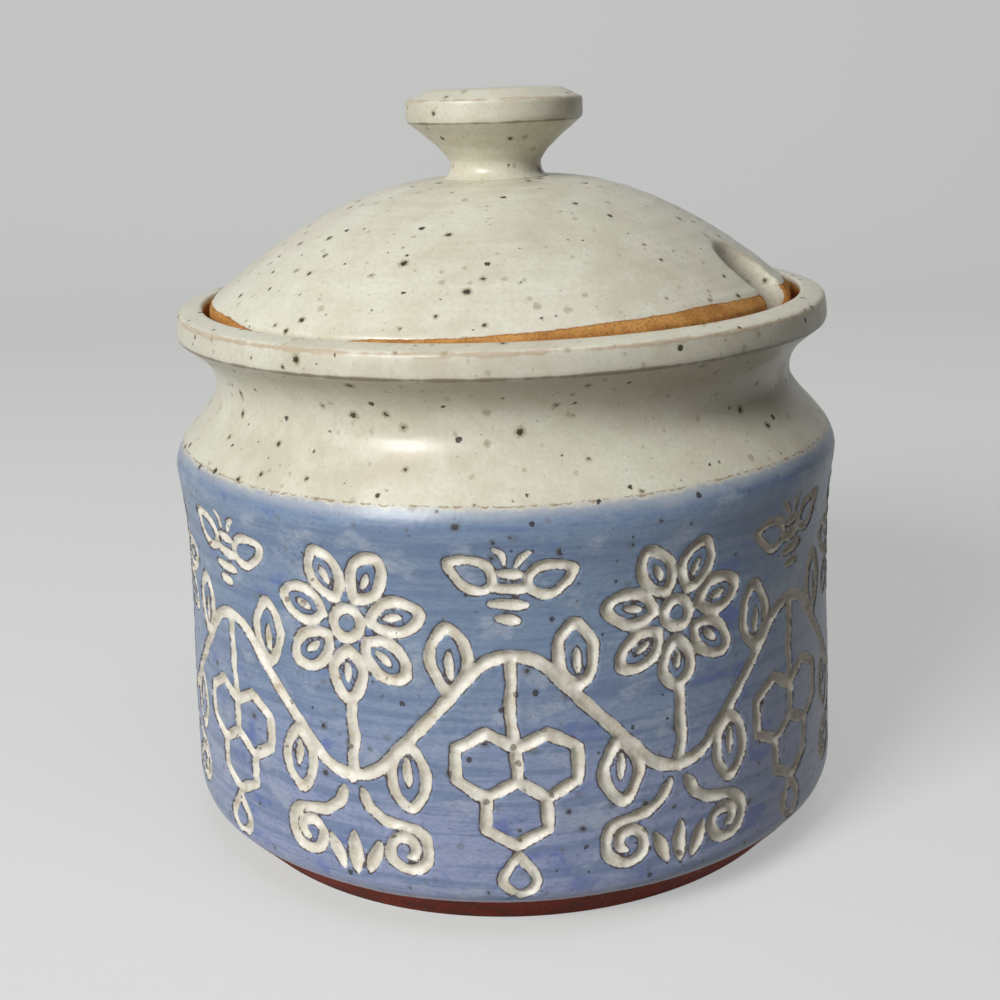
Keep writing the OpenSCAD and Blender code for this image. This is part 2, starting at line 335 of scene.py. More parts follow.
# %% [markdown]
# ## Drawing the carving
# The CAD solid has the main lines of the frieze: the wavy vine, honeycomb, flowers and leaves.
# Here the same lines are drawn as a hand with a loop tool leaves them, a little off and with
# round bottoms, and the small ones are added: bees, tendrils, drops and veins. The pattern is
# drawn flat first, in mm: x runs round the wall and y is the height over the table. Each cut is
# a line with a half-width at every point, so a cut can swell and taper.

# %% Cuts as lines with a width
WALL_R = 58.0
ROUND = 2 * math.pi * WALL_R
PERIODS = 7
SPAN = ROUND / PERIODS
hand = random.Random(11)
print(f"{PERIODS} lengths of {SPAN:.1f} mm go round the wall")


def sway(p, size, pace=0.55, turn=0.0):
    """A slow wander of the hand, as a small shift at each point."""
    x, y = p[:, 0], p[:, 1]
    a = np.sin(pace * x + 1.7 * pace * y + turn) + 0.6 * np.sin(2.3 * pace * y - pace * x + 2)
    b = np.sin(1.3 * pace * y - pace * x + turn + 1) + 0.6 * np.sin(2.1 * pace * x + 4 + turn)
    return p + size * np.stack([a, b], 1)


def cut(points, width=2.1, ends=0.45, closed=False):
    """One cut along points: full width in the middle, narrower where the tool goes in and out."""
    points = np.array(points, float)
    if closed:
        points = np.vstack([points, points[:1]])
    spans = np.concatenate([[0], np.cumsum(np.hypot(*np.diff(points, axis=0).T))])
    count = max(4, round(spans[-1] / 0.8))
    at = np.linspace(0, spans[-1], count + 1)
    line = np.stack([np.interp(at, spans, points[:, 0]), np.interp(at, spans, points[:, 1])], 1)
    from_end = np.minimum(at, at[-1] - at)
    taper = 1 if closed else ends + (1 - ends) * ease(-0.2, 1.3, from_end)
    half = width / 2 * (1 + 0.07 * np.sin(at * 1.1 + points[0, 0])) * taper
    return line, np.broadcast_to(half, at.shape).copy()


def gouge(start, end, width=2.3):
    """One short leaf-shaped cut, deepest in its middle."""
    t = np.linspace(0, 1, 9)
    line = np.outer(1 - t, start) + np.outer(t, end)
    return line, 0.08 + width / 2 * np.sin(np.pi * (0.04 + 0.92 * t)) ** 0.75


def place(cuts, at, turn=0.0, mirror=False):
    """Cuts of one motif put at their place, a little off as by hand."""
    turn = math.radians(turn + hand.uniform(-2.2, 2.2))
    size = hand.uniform(0.97, 1.03)
    spin = size * np.array([[math.cos(turn), math.sin(turn)], [-math.sin(turn), math.cos(turn)]])
    shift = np.array(at) + [hand.uniform(-0.25, 0.25), hand.uniform(-0.25, 0.25)]
    phase = hand.uniform(0, 6)
    out = []
    for line, half in cuts:
        if mirror:
            line = line * [-1, 1]
        out.append((sway(line @ spin + shift, 0.1, turn=phase), half * hand.uniform(0.93, 1.07)))
    return out


# %% [markdown]
# Each motif stands at its own middle, or grows upwards from its foot.


# %% The motifs
def ring(radius, count=28, start=0.0):
    """Points on a circle."""
    a = start + np.linspace(0, 2 * math.pi, count, endpoint=False)
    return radius * np.stack([np.cos(a), np.sin(a)], 1)


def oval(length, width):
    """Points round an upright pointed oval between two arcs."""
    r = (length**2 + width**2) / (4 * width)
    t = np.linspace(-1, 1, 11) * math.asin(length / 2 / r)
    side = np.stack([r * np.cos(t) - r + width / 2, r * np.sin(t)], 1)
    return np.vstack([side[:-1], -side[:-1]])


def petal_loop(length, width, tip=0.8):
    """Points round a petal or leaf that grows upwards from the origin."""
    t = np.linspace(0, 1, 15)
    side = width / 2 * np.sin(np.pi * t**tip) ** 0.8
    left = np.stack([-side, length * t], 1)
    right = np.stack([side, length * t], 1)[::-1]
    return np.vstack([left, right[1:-1]])


def turned(points, degrees, shift=(0, 0)):
    """Points turned round the origin and moved."""
    a = math.radians(degrees)
    return points @ np.array([[math.cos(a), math.sin(a)], [-math.sin(a), math.cos(a)]]) + shift


def flower(petals=7, eye=2.3, middle=8.2):
    """An open flower: a ring in the middle and pointed petals round it, the first one down."""
    cuts = [cut(ring(eye), 1.9, closed=True)]
    for i in range(petals):
        angle = 180 + 360 * i / petals
        cuts.append(cut(turned(oval(8, 5) + [0, middle], angle), 1.9, closed=True))
        cuts.append(gouge(turned([0, middle - 1.9], angle), turned([0, middle + 1.1], angle), 1.3))
    return cuts


def comb(side=5.4):
    """Three cells of a honeycomb that share their walls."""
    corner = [math.radians(90 + 60 * k) for k in range(6)]
    cell = side * np.array([[math.cos(a), math.sin(a)] for a in corner])
    wide, high = side * math.sqrt(3) / 2, side * 0.75
    middles = [(-wide, high), (wide, high), (0, -high)]
    walls = {}
    for middle in middles:
        for k in range(6):
            ends = [tuple(np.round(cell[j % 6] + middle, 2)) for j in (k, k + 1)]
            walls[frozenset(ends)] = ends
    return [cut(np.array(walls[key]), 2.05, 0.85) for key in sorted(walls, key=sorted)]


def leaf():
    """A leaf with the start of its middle vein, pointing up."""
    return [cut(oval(10.4, 5.6), 1.95, closed=True), gouge((0, -3.4), (0.2, 1.4), 1.5)]


def curl():
    """A tendril that goes out to the right and rolls up."""
    t = np.linspace(0, 1, 34)
    angle = math.pi * 0.5 + 2.9 * math.pi * t
    radius = 4.3 * (1 - 0.72 * t)
    roll = np.stack([-radius * np.cos(angle), radius * np.sin(angle)], 1) + [7.2, -9.4]
    return [cut(np.vstack([[(0, 0), (1.2, -2.8), (3.8, -4.7)], roll[1:]]), 1.95, 0.5)]


def bee():
    """A bee seen from above: four bars for its body, two wings and two feelers."""
    bars = [(3.2, 2.9), (5.4, 0.4), (5.1, -2.2), (3.0, -4.6)]
    cuts = [cut([(-w / 2, y), (w / 2, y + 0.1)], 1.8, 0.7) for w, y in bars]
    for side in (-1, 1):
        wing = turned(petal_loop(7.6, 4.7, 0.75), -side * 66, (side * 2.7, 1.0))
        cuts.append(cut(wing, 1.65, closed=True))
        cuts.append(cut([(side * 0.8, 4.3), (side * 1.6, 6.0), (side * 2.8, 6.7)], 1.2, 0.6))
    return cuts


def drop():
    """A drop of honey that hangs."""
    return [cut(petal_loop(7.0, 5.2, 1.45)[::-1] * [1, -1], 1.8, closed=True)]


def fan():
    """Three leaf-shaped gouges side by side."""
    return [
        gouge((0, -0.3), (0, 6.6), 2.5),
        gouge((-2.2, 0.2), (-4.3, 5.6), 2.3),
        gouge((2.2, 0.2), (4.3, 5.6), 2.3),
    ]


# %% [markdown]
# The frieze has seven equal lengths. In each the vine rises over a piece of honeycomb, with a
# bee above, and dips under a flower that stands on it. Its bends are arcs, joined by straight
# lines that touch them.

# %% The frieze
VINE_Y, VINE_RISE, BEND = 37.0, 10.5, 8.0
FLOWER_Y, COMB_Y, BEE_Y, DROP_Y, FAN_Y = VINE_Y + 14.3, VINE_Y - 11.4, 57.6, 15.1, 9.9
STALK_Y, STRING_Y, CURL_X, CURL_Y = 26.6, 32.4, 1.6, 24.2
LEAF_X, LEAF_UP = 9.8, 10.0
past = VINE_RISE - BEND
lean = math.atan2(2 * past, SPAN / 2) + math.asin(2 * BEND / math.hypot(SPAN / 2, 2 * past))
bow = np.linspace(-lean, lean, 13)
over = np.stack([SPAN / 4 + BEND * np.sin(bow), VINE_Y + past + BEND * np.cos(bow)], 1)
under = np.stack([SPAN / 2 + over[:, 0], 2 * VINE_Y - over[:, 1]], 1)
wave = np.vstack([over, under])

frieze = []
for period in range(PERIODS):
    x0 = period * SPAN
    crest, dip = x0 + SPAN / 4, x0 + 3 * SPAN / 4
    vine = cut(np.vstack([wave, wave[:1] + [SPAN, 0]]) + [x0, 0], 2.15, 1.0)
    frieze.append((sway(vine[0], 0.1, 2 * math.pi / SPAN), vine[1]))
    frieze += place(flower(), (dip, FLOWER_Y))
    frieze += place([cut([(0, -0.7), (0.4, 5), (0, 12.4)], 2.0, 0.8)], (dip, STALK_Y))
    frieze += place(comb(), (crest, COMB_Y))
    frieze += place([cut([(0, 0), (-0.4, 7), (0, 14.6)], 2.0, 0.8)], (crest, STRING_Y))
    frieze += place(drop(), (crest, DROP_Y))
    frieze += place(bee(), (crest, BEE_Y), turn=hand.uniform(-10, 10))
    for side in (-1, 1):
        frieze += place(leaf(), (crest + side * LEAF_X, VINE_Y + LEAF_UP))
        frieze += place(leaf(), (dip - side * LEAF_X, VINE_Y - LEAF_UP), 180)
        frieze += place(curl(), (dip + side * CURL_X, CURL_Y), mirror=side < 0)
    frieze += place(fan(), (dip, FAN_Y))
total = sum(np.hypot(*np.diff(line, axis=0).T).sum() for line, _ in frieze)
print(f"{len(frieze)} cuts, {total:.0f} mm long together")

# %% [markdown]
# ## Cutting the wall
# How far is a point of the wall from the edge of the nearest cut? That one number, in mm and
# positive inside a cut, drives everything: where the mesh gets small faces, how deep each
# vertex goes, and later where the blue glaze gives way to cream. The edge is made a little
# ragged, as grog in the clay drags under the tool.


# %% Distance to the edge of the nearest cut
FAR_OFF, READ_AROUND = -9.0, 3.2


def ragged(x, y):
    """Small teeth on the edge of a cut."""
    coarse = np.sin(1.9 * x + 1.3 * y + 1) * np.sin(1.6 * y - 1.1 * x + 2)
    fine = np.sin(4.3 * x - 2.1 * y) * np.sin(3.9 * y + 2.7 * x + 1)
    return 0.055 * coarse + 0.045 * fine


def depth_in(x, y):
    """Distance inside the edge of the nearest cut, and that cut's half-width there."""
    best = np.full(len(x), FAR_OFF)
    width = np.ones(len(x))
    for line, half in frieze:
        middle = line[:, 0].mean()
        near_x = (x - middle + ROUND / 2) % ROUND - ROUND / 2 + middle
        reach = half.max() + READ_AROUND
        low, high = line.min(0) - reach, line.max(0) + reach
        near = (near_x > low[0]) & (near_x < high[0]) & (y > low[1]) & (y < high[1])
        picked = np.nonzero(near)[0]
        if not len(picked):
            continue
        p = np.stack([near_x[picked], y[picked]], 1)[:, None]
        a, step = line[None, :-1], np.diff(line, axis=0)[None]
        t = np.clip(((p - a) * step).sum(2) / (step**2).sum(2), 0, 1)
        off = np.hypot(*np.moveaxis(p - a - t[..., None] * step, 2, 0))
        wide = half[:-1] + np.diff(half) * t
        rows, at = np.arange(len(picked)), (wide - off).argmax(1)
        inside, wide = (wide - off)[rows, at], wide[rows, at]
        better = inside > best[picked]
        best[picked[better]] = inside[better]
        width[picked[better]] = wide[better]
    return best + ragged(x, y), width


def flat_places(points):
    """Points on the wall as x round it and y up it, in mm."""
    return round_places(points)[1] * WALL_R % ROUND, points[:, 2]


def face_middles(piece):
    """Middles of a piece's faces, in mm."""
    flat = np.zeros(len(piece.data.polygons) * 3, np.float32)
    piece.data.polygons.foreach_get("center", flat)
    return flat.reshape(-1, 3).astype(float) / MM


# %% [markdown]
# The faces near a cut are divided twice, first in 2 and then in 3. The rest of the pot keeps
# its large faces, so the mesh stays light.

# %% Small faces near the cuts
MARGIN = 0.2
for near_edge, cuts in ((-2.4, 1), (-0.95, 2)):
    middles = face_middles(pot)
    up = middles[:, 2]
    outside = round_places(middles)[0] > WALL_LEAST_R
    on_wall = np.nonzero(outside & (up > WALL_LOW + MARGIN) & (up < WALL_HIGH - MARGIN))[0]
    inside, _ = depth_in(*flat_places(middles[on_wall]))
    edit(pot, "FACE", on_wall[inside > near_edge])
    bpy.ops.mesh.subdivide(number_cuts=cuts, ngon=True)
    bpy.ops.object.mode_set(mode="OBJECT")
    print(f"faces nearer than {-near_edge} mm divided:", triangles(pot), "triangles")

# %% [markdown]
# Vertices that lie almost on the edge of a cut are moved onto it, so that the edge is a clean
# line of the mesh. Then every vertex goes back to the true section, because divided faces are
# flat, and out or in by what the hand, the tool and the glaze did there.

# %% Shape of the pot's surface
NEAR_EDGE, FARTHEST, NUDGE = 0.2, 0.17, 0.04
at = places(pot)
r, turn = round_places(at)
along, _ = pot_line.nearest(r, at[:, 2])
on_wall = (along > wall_low - 1) & (along < wall_high + 1)
x, y = turn * WALL_R % ROUND, at[:, 2].copy()
inside = np.full(len(at), FAR_OFF)
half = np.ones(len(at))
inside[on_wall], half[on_wall] = depth_in(x[on_wall], y[on_wall])

edge = np.nonzero(np.abs(inside) < NEAR_EDGE)[0]
slope = np.stack([
    depth_in(x[edge] + NUDGE, y[edge])[0] - inside[edge],
    depth_in(x[edge], y[edge] + NUDGE)[0] - inside[edge],
], 1) / NUDGE
steep = np.maximum((slope**2).sum(1), 0.3)
shift = np.clip(-inside[edge, None] * slope / steep[:, None], -FARTHEST, FARTHEST)
turn[edge] += shift[:, 0] / WALL_R
along[edge] += shift[:, 1]
x, y = turn * WALL_R % ROUND, pot_line.at(along)[1]
inside[on_wall], half[on_wall] = depth_in(x[on_wall], y[on_wall])
print(len(edge), "vertices moved onto the edge of a cut")


# %% [markdown]
# The unevenness is small: a quarter of a millimetre in the round, faint rings from the fingers,
# and a swelling where a glaze ends. It fades out at the foot and on the ledge inside the rim,
# where the pot stands and the lid lies.


# %% Hand, tool and glaze
def out_of_round(turn, z):
    """How far a thrown wall is out of the true round, in mm."""
    slow = np.sin(2 * turn + 0.7 + z / 40) + 0.5 * np.sin(3 * turn - 1 - z / 25)
    return 0.13 * slow + 0.05 * np.sin(5 * turn + z / 9 + 2)


def finger_rings(turn, z, pitch):
    """Faint spiral rings left by the fingers."""
    climb = 2 * math.pi * z / pitch + turn
    return np.sin(climb) * (0.6 + 0.4 * np.sin(climb / 5 + 2 * turn)) + 0.3 * np.sin(2.7 * climb)


def waver(turn, size, seed=0.0):
    """A glaze line that isn't quite level."""
    return size * (
        np.sin(3 * turn + seed) + 0.6 * np.sin(7 * turn + 2 * seed) + 0.4 * np.sin(16 * turn + seed)
    )


FOOT_LINE, BLUE_TOP = 6.1, 70.7
LEDGE_MIDDLE, LEDGE_LINE, LEDGE_HALF = 9, 6.9, 5.7
GLAZE, BURR, CUT_DEPTH = 0.14, 0.07, 0.78
r, z, out_r, out_z = pot_line.at(along)
outer = (along > foot_out) & (along < top_of_rim)
inner = along > top_of_rim
rim_in = along - top_of_rim
ledge = np.exp(-((rim_in - LEDGE_MIDDLE) / 4.5) ** 4)
free = ease(0, 9, z) * (1 - ledge)
foot_glaze = np.where(along < top_of_rim, z - FOOT_LINE + waver(turn, 0.16, 1), 9)
foot_glaze = np.where(along < foot_out, -5, foot_glaze)
blue_depth = np.where(outer, BLUE_TOP - z + waver(turn, 0.1, 4), -9)
ledge_glaze = np.abs(rim_in - LEDGE_LINE + waver(turn, 0.1, 2)) - LEDGE_HALF
glazed = np.minimum(foot_glaze, np.where(inner, ledge_glaze, 9))

depth = CUT_DEPTH * half * (1 - (1 - np.clip(inside / half, 0, 1)) ** 2.2)
burr = BURR * np.exp(-(((inside + 0.28) / 0.22) ** 2))
rings = np.where(outer, 0.035 * finger_rings(turn, z, 3.6), 0.09 * finger_rings(turn, z, 5.2))
coat = GLAZE * ease(0, 0.7, foot_glaze) + 0.1 * np.exp(-(((foot_glaze - 0.6) / 0.5) ** 2))
roll = 0.07 * np.exp(-(((blue_depth - 0.5) / 0.6) ** 2))
push = (rings - GLAZE) * free + np.where(outer, coat + roll, GLAZE * free) + burr - depth
r = r + out_r * push + out_of_round(turn, z) * free
z = z + out_z * push
r = np.where(along < 0.01, 0, np.maximum(r, 0))
on_axis = np.hypot(at[:, 0], at[:, 1]) < 0.01
at[:, 0] = np.where(on_axis, 0, r * np.cos(turn))
at[:, 1] = np.where(on_axis, 0, r * np.sin(turn))
at[:, 2] = np.where(on_axis, at[:, 2], z)
put(pot, at)
only(pot)
bpy.ops.object.shade_smooth()
print(f"deepest cut {depth.max():.2f} mm, glaze {GLAZE} mm thick")

# %% [markdown]
# What the material has to know goes with the mesh as numbers at its vertices: how far inside
# a cut, how far under the top of the blue, how far from the line where glaze gives way to bare
# clay. Glaze runs thin on the rim's outer top edge, and shade is painted as a dark line under the
# band of the rim.

# %% Numbers for the pot's material
RIM_EDGE_BACK, BAND_FOOT_BACK = 4.0, 7.7
note(pot, "cut", np.clip(inside, -3, 3))
note(pot, "blue", np.clip(blue_depth, -9, 70))
note(pot, "glazed", np.clip(glazed, -9, 9))
note(pot, "thin", np.clip(np.abs(along - top_of_rim + RIM_EDGE_BACK), 0, 9))
# Painted shade: a dark olive-brown line along the lower edge of the rim's band.
note(pot, "gathered", np.clip(np.abs(along - top_of_rim + BAND_FOOT_BACK), 0, 9))
print("pot finished:", triangles(pot), "triangles")

# %% [markdown]
# ## The lid
# The lid is round except for the notch, whose edges the potter rounded with a wet finger. Spun
# rings can't follow the notch, so the CAD lid is remeshed in small even faces, and then the
# faces near the notch are smoothed until its edges are soft. Everywhere else each vertex goes
# back to the true section.

# %% Even faces for the lid
VOXEL = 0.56 * MM
lid = merged_copy("lid", "stoneware_lid")
lid.data.name = "stoneware_lid"
only(lid)
remesh = lid.modifiers.new("even faces", "REMESH")
remesh.mode = "VOXEL"
remesh.voxel_size = VOXEL
remesh.use_smooth_shade = True
bpy.ops.object.modifier_apply(modifier=remesh.name)
print("lid remeshed:", triangles(lid), "triangles")

# %% Where the notch is
NOTCH_HALF, NOTCH_DEPTH = 6.0, 11.6
lid_line = Section(lid_rings)
lid_r = float(lid_line.line[:, 0].max())
lid_edge = float(lid_line.along[lid_line.line[:, 0].argmax()])


def off_notch(points):
    """Distance in mm of each point from the outline of the notch, in plan. Inside is negative."""
    c, s = math.cos(math.radians(NOTCH_TURN)), math.sin(math.radians(NOTCH_TURN))
    u = points[:, 0] * c + points[:, 1] * s
    v = -points[:, 0] * s + points[:, 1] * c
    end = lid_r - NOTCH_DEPTH + NOTCH_HALF
    straight = np.abs(v) - NOTCH_HALF - 1.2 * ease(lid_r - 2.2, lid_r + 0.6, u)
    return np.where(u > end, straight, np.hypot(u - end, v) - NOTCH_HALF)


at = places(lid)
r, _ = round_places(at)
along, off = lid_line.nearest(r, at[:, 2])
notch = off_notch(at)
true = (off < 0.5) & (notch > 0.5)
line_r, line_z, _, _ = lid_line.at(along)
scale = np.where(r > 0.5, line_r / np.maximum(r, 0.5), 1)
at[true, 0] *= scale[true]
at[true, 1] *= scale[true]
at[true, 2] = line_z[true]
put(lid, at)
near_notch = np.nonzero((notch < 1.5) & (r > lid_r - NOTCH_DEPTH - 3))[0]
edit(lid, "VERT", near_notch)
bpy.ops.mesh.vertices_smooth(factor=0.5, repeat=5)
bpy.ops.object.mode_set(mode="OBJECT")
print("vertices smoothed at the notch:", len(near_notch))

# %% [markdown]
# The lower edge of the lid's glaze isn't level: the dip of the lid into the bucket left a wide
# stripe of bare clay on the right and hardly any on the left front. The glaze ends in a step
# that can be felt.

# %% Shape of the lid's surface
BARE_SEAT = 9.5
at = places(lid)
r, turn = round_places(at)
along, off = lid_line.nearest(r, at[:, 2])
notch = off_notch(at)
skin = ease(0.9, 0.2, off)
line_r, _, out_r, out_z = lid_line.at(along)
under_side = along < lid_edge - 2
stripe = [(-180, 94.4), (-150, 94.3), (-140, 93.2), (-120, 93.1), (-112, 94.0), (-98, 94.3)]
stripe += [(-88, 94.7), (-72, 95.3), (-50, 95.7), (-30, 95.2), (10, 94.8), (60, 94.9), (180, 94.4)]
degrees = np.degrees(turn)
stripe_z = np.interp(degrees, *zip(*stripe)) + waver(turn, 0.07, 3)
glazed = np.where(under_side, lid_r - BARE_SEAT - line_r, at[:, 2] - stripe_z)
notch_low = np.interp(r, [lid_r - 8, lid_r - 3, lid_r], [89.3, 90.0, 92.8])
in_notch = ease(0.5, 1.3, off)
glazed = glazed * (1 - in_notch) + (at[:, 2] - notch_low) * in_notch
top_skin = ~under_side & (skin > 0)
fade = ease(89, 91, at[:, 2])
push = GLAZE * ease(0, 0.6, glazed) - 0.12 + 0.06 * np.exp(-(((glazed - 0.5) / 0.4) ** 2))
push = push + 0.05 * finger_rings(turn, r, 4.4) * ease(3, 12, r) * (r < lid_r - 3)
wobble = 0.11 * np.sin(2 * turn + 1) + 0.07 * np.sin(3 * turn + r / 12)
push = (push + wobble * top_skin * ease(11, 18, r)) * skin * fade
keep = r > 0.5
at[keep, 0] += (out_r * push * np.cos(turn))[keep]
at[keep, 1] += (out_r * push * np.sin(turn))[keep]
at[:, 2] += out_z * push
put(lid, at)

dome_z = np.interp(np.clip(r, 0, lid_r - 0.4), *lid_line.line[lid_line.along > lid_edge][::-1].T)
top_edge = np.hypot(np.maximum(notch, 0), np.maximum(dome_z - at[:, 2], 0))
note(lid, "glazed", np.clip(glazed, -9, 9))
note(lid, "thin", np.clip(np.where(r > lid_r - NOTCH_DEPTH - 4, top_edge, 9), 0, 9))
note(lid, "gathered", np.full(len(at), 9.0))
print("lid finished:", triangles(lid), "triangles")

# %% [markdown]
# ## The knob
# The knob was thrown off the hump as a small flared dish and luted to the dome. It is spun like
# the pot, with its edges left as round as the glaze leaves them.

# %% Spin the knob
knob_line = Section(knob_rings)
knob = spun("stoneware_knob", knob_line, knob_line.points(lambda s: 0.9, 10, 0.22), 96)
at = places(knob)
r, turn = round_places(at)
along, _ = knob_line.nearest(r, at[:, 2])
_, _, out_r, out_z = knob_line.at(along)
seat_z = at[:, 2].min()
free = ease(seat_z + 0.3, seat_z + 2.5, at[:, 2])
push = 0.05 * finger_rings(turn, at[:, 2], 2.2) * free
wobble = (0.12 * np.sin(2 * turn + 2) + 0.07 * np.sin(3 * turn)) * free
keep = r > 0.05
at[keep, 0] += ((out_r * push + wobble) * np.cos(turn))[keep]
at[keep, 1] += ((out_r * push + wobble) * np.sin(turn))[keep]
at[:, 2] += out_z * push * (r > 0.05)
put(knob, at)
only(knob)
bpy.ops.object.shade_smooth()
widest = at[:, 2][r > r.max() - 0.6]
inward = r - r.max() + 0.3
note(knob, "glazed", np.full(len(at), 9.0))
note(knob, "thin", np.clip(np.hypot(inward, at[:, 2] - widest.max()), 0, 9))
# Painted shade: a dark olive-brown line along the lower edge of the knob's flare.
note(knob, "gathered", np.clip(np.hypot(inward, at[:, 2] - widest.min()), 0, 9))
print("knob finished:", triangles(knob), "triangles")

# %% [markdown]
# ## Glaze by nodes
# The materials are sums on numbers: a mask times a mask, one minus a mask. The class below wraps
# a node's socket so that Python's own signs add the Math nodes. Every other node comes from
# one method, which takes the node's type, its settings and the values of its sockets.


# %% Sums on sockets
class Value:
    """A number, colour, vector or surface on its way through a material."""

    def __init__(self, bench, socket):
        self.bench, self.socket = bench, socket

    def math(self, kind, *others):
        return self.bench.node("ShaderNodeMath", {"operation": kind}, dict(enumerate(others)))

    def __add__(self, other):
        return self.math("ADD", self, other)

    def __radd__(self, other):
        return self.math("ADD", other, self)

    def __sub__(self, other):
        return self.math("SUBTRACT", self, other)

    def __rsub__(self, other):
        return self.math("SUBTRACT", other, self)

    def __mul__(self, other):
        return self.math("MULTIPLY", self, other)

    def __rmul__(self, other):
        return self.math("MULTIPLY", other, self)

    def __abs__(self):
        return self.math("ABSOLUTE", self)

    def at_least(self, other):
        return self.math("MAXIMUM", self, other)

    def below(self, other):
        return self.math("LESS_THAN", self, other)


def linear(*rgb):
    """A colour as seen on screen, 0 to 255, as the linear numbers that shaders use."""
    parts = [c / 255 for c in rgb]
    return (*[c / 12.92 if c <= 0.04045 else ((c + 0.055) / 1.055) ** 2.4 for c in parts], 1)


class Bench:
    """A material and its nodes. Patterns are in mm on the piece."""

    def __init__(self, name):
        self.material = bpy.data.materials.new(name)
        self.material.use_nodes = True
        self.tree = self.material.node_tree
        self.tree.nodes.clear()
        place = self.node("ShaderNodeTexCoord", out="Object")
        self.place = self.vectors("SCALE", place, Scale=1 / MM)

    def node(self, kind, settings=None, values=None, out=0):
        made = self.tree.nodes.new(kind)
        for key, value in (settings or {}).items():
            setattr(made, key, value)
        for key, value in (values or {}).items():
            if isinstance(value, Value):
                self.tree.links.new(value.socket, made.inputs[key])
            else:
                made.inputs[key].default_value = value
        if isinstance(out, tuple):
            return tuple(Value(self, made.outputs[name]) for name in out)
        return Value(self, made.outputs[out]) if len(made.outputs) else made

    def vectors(self, kind, first, second=None, **named):
        """A sum on vectors."""
        values = {0: first, **named}
        if second is not None:
            values[1] = second
        return self.node("ShaderNodeVectorMath", {"operation": kind}, values)

    def number(self, name):
        """A number kept at the vertices."""
        return self.node("ShaderNodeAttribute", {"attribute_name": name}, out="Fac")

    def soft(self, value, low, high):
        """0 to 1 as value goes from low to high."""
        return self.node(
            "ShaderNodeMapRange",
            {"interpolation_type": "SMOOTHSTEP"},
            {"Value": value, "From Min": low, "From Max": high},
        )

    def mix(self, share, first, second):
        """First colour where share is 0 and second where it is 1."""
        settings = {"data_type": "RGBA"}
        return self.node("ShaderNodeMix", settings, {0: share, 6: first, 7: second}, out=2)

    def cloud(self, size, detail=2.0, shift=0.0, stretch=(1, 1, 1)):
        """Soft noise around 0.5, with patches about size mm across."""
        place = self.place
        if stretch != (1, 1, 1):
            place = self.vectors("MULTIPLY", place, stretch)
        if shift:
            place = self.vectors("ADD", place, (shift, -shift, shift))
        values = {"Vector": place, "Scale": 1 / size, "Detail": detail, "Roughness": 0.6}
        return self.node("ShaderNodeTexNoise", {}, values, out="Fac")

    def shaken(self, size, much):
        """Places shaken unevenly, so that round spots come out ragged and long."""
        values = {"Vector": self.place, "Scale": 1 / size, "Detail": 2.0, "Roughness": 0.65}
        noise = self.node("ShaderNodeTexNoise", {}, values, out="Color")
        return self.vectors("ADD", self.place, self.vectors("MULTIPLY", noise, (much,) * 3))

    def grains(self, size, place=None):
        """Scattered points size mm apart: the distance to the nearest, and its two lots."""
        values = {"Vector": place or self.place, "Scale": 1 / size}
        distance, lots = self.node("ShaderNodeTexVoronoi", {}, values, ("Distance", "Color"))
        luck, weight = self.node("ShaderNodeSeparateColor", {}, {0: lots}, ("Red", "Green"))
        return distance * size, luck, weight * weight

    def spots(self, grains, small, large, share, edge=0.07):
        """Spots of small to large mm radius round a share of the grains."""
        distance, luck, weight = grains
        spot = self.soft(weight * (large - small) + small - distance, -edge, edge)
        return spot * luck.below(share)

    def surface(self, colour, roughness, height, shine=0.5, coat=0.12):
        """A surface with its own relief, whose height is in mm."""
        bump = self.node("ShaderNodeBump", {}, {"Distance": MM, "Height": height})
        values = {"Base Color": colour, "Roughness": roughness, "Normal": bump}
        values |= {"Specular IOR Level": shine, "Coat Weight": coat, "Coat Roughness": 0.16}
        return self.node("ShaderNodeBsdfPrincipled", {}, values)

    def blend(self, share, first, second):
        """First surface where share is 0 and second where it is 1."""
        return self.node("ShaderNodeMixShader", {}, {0: share, 1: first, 2: second})

    def done(self, surface):
        """The finished material."""
        self.node("ShaderNodeOutputMaterial", {}, {"Surface": surface})
        return self.material


# %% [markdown]
# ### Cream glaze and bare clay
# The cream glaze is a satin white over a clay full of iron. The iron melts through as specks:
# pinpricks, dark grains and a few large blots with an olive ring. Where the glaze is thin, as on
# an edge, it turns tan, and under an overhanging edge a dark olive-brown line is painted shade.
# The clay itself is orange-brown and gritty where bare.


# %% Cream glaze, bare clay and specks
def iron_specks(b):
    """Iron specks of three sizes: a dark mask, and an olive mask for the faint smudges."""
    place = b.shaken(0.55, 0.75)
    grains, smudges = b.grains(2.5, place), b.grains(2.9, place)
    pin = b.spots(b.grains(0.85, place), 0.05, 0.15, 0.45, 0.05) * 0.5
    grain = b.spots(grains, 0.14, 0.56, 0.62, 0.08) * 0.95
    halo = b.spots(grains, 0.3, 0.95, 0.32, 0.25) * 0.5
    smudge = b.spots(smudges, 0.1, 0.7, 0.7, 0.22) * 0.4
    return pin.at_least(grain), halo.at_least(smudge)


